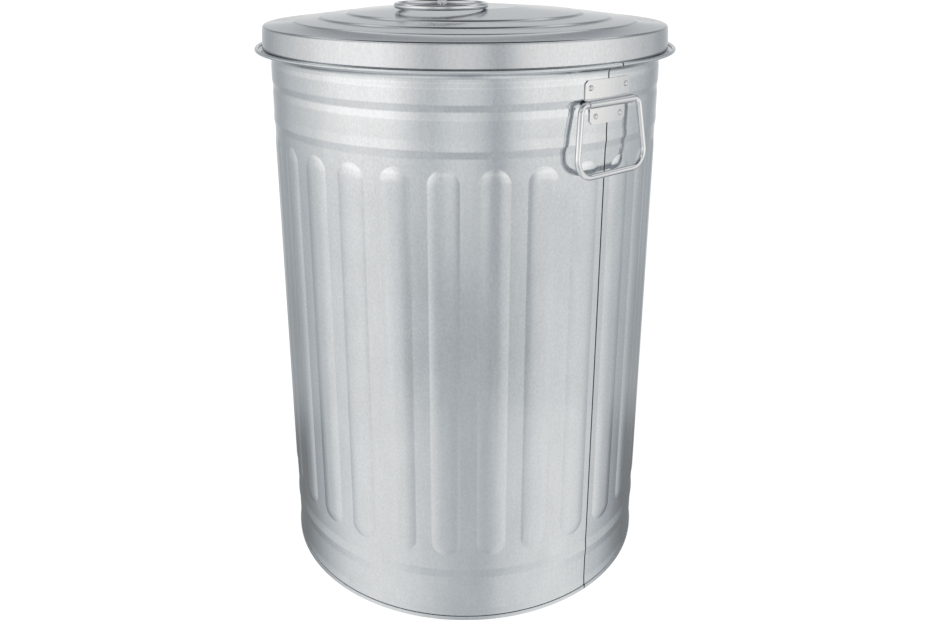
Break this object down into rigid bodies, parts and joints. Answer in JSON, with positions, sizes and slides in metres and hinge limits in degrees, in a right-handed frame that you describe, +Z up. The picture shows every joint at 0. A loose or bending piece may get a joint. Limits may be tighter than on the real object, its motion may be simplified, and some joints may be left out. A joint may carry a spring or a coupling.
{
  "type": "galvanized trash can with lid",
  "caption": "Round galvanized steel trash can with fluted sides, swinging wire handles in riveted straps and a lift-off stepped lid with a ring pull.",
  "frame": {"origin": "centre of the base, on the surface that the can stands on", "axes": "+Z up; the two handles are at +X and -X, and the side seam is under the +X handle"},
  "size_m": [0.446, 0.4459, 0.6286],
  "materials": {
    "galvanized_body": "hot-dip galvanized, semi-gloss",
    "galvanized_lid": "hot-dip galvanized, semi-gloss",
    "galvanized_strap": "galvanized, semi-gloss",
    "bright_wire": "bright zinc",
    "rivet_steel": "bright zinc"
  },
  "bodies": {
    "can": {"body_shell": "galvanized_body", "rim_wire": "bright_wire", "base_pan": "galvanized_body", "handle_strap_right": "galvanized_strap", "handle_rivets_right": "rivet_steel", "handle_strap_left": "galvanized_strap", "handle_rivets_left": "rivet_steel"},
    "lid": {"lid_panel": "galvanized_lid", "ring_bracket": "galvanized_strap", "bracket_rivets": "rivet_steel"},
    "ring": {"ring_pull": "bright_wire"},
    "right_bail": {"bail_right": "bright_wire"},
    "left_bail": {"bail_left": "bright_wire"}
  },
  "joints": [
    {"name": "lid_lift", "type": "slide", "parent": "can", "child": "lid", "axis": [0, 0, 1], "range_m": [0, 0.4]},
    {"name": "ring_fold", "type": "hinge", "parent": "lid", "child": "ring", "pos_m": [-0.02023, -0.01503, 0.62394], "axis": [-0.6374, -0.7705, 0], "range_deg": [0, 180]},
    {"name": "right_bail_swing", "type": "hinge", "parent": "can", "child": "right_bail", "pos_m": [0.2103, 0, 0.5452], "axis": [0, -1, 0], "range_deg": [-4, 150]},
    {"name": "left_bail_swing", "type": "hinge", "parent": "can", "child": "left_bail", "pos_m": [-0.2103, 0, 0.5452], "axis": [0, 1, 0], "range_deg": [-4, 150]}
  ]
}
